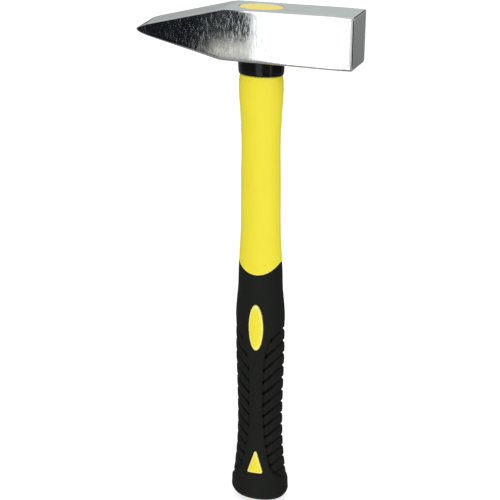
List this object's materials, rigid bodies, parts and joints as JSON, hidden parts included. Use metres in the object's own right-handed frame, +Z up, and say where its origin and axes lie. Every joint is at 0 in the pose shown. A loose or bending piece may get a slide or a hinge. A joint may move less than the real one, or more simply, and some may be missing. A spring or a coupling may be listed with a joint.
{
  "type": "cross pein hammer",
  "caption": "Steel hammer head with a square striking face and a tapered cross pein, on a straight handle with a ribbed soft sleeve and coloured inlays.",
  "frame": {"origin": "middle of the flat end of the butt, on the handle's axis", "axes": "+Z up the handle to the head, +X towards the striking face with the pein at -X, +Y and -Y towards the two cheeks"},
  "size_m": [0.1293, 0.026, 0.3006],
  "materials": {
    "steel": "ground and polished, with fine brush lines across the cheeks",
    "eye_resin": "cast flush, slightly glossy",
    "fibreglass": "pultruded, hidden inside the handle",
    "collar_plastic": "glossy black moulding",
    "yellow_plastic": "satin moulding",
    "grip_rubber": "matte soft rubber"
  },
  "bodies": {
    "root": {"head": "steel", "eye_resin": "eye_resin", "core_rod": "fibreglass", "collar": "collar_plastic", "handle_jacket": "yellow_plastic", "rubber_grip": "grip_rubber", "oval_inlay_front": "yellow_plastic", "triangle_inlay_front": "yellow_plastic", "oval_inlay_back": "yellow_plastic", "triangle_inlay_back": "yellow_plastic"}
  },
  "joints": []
}
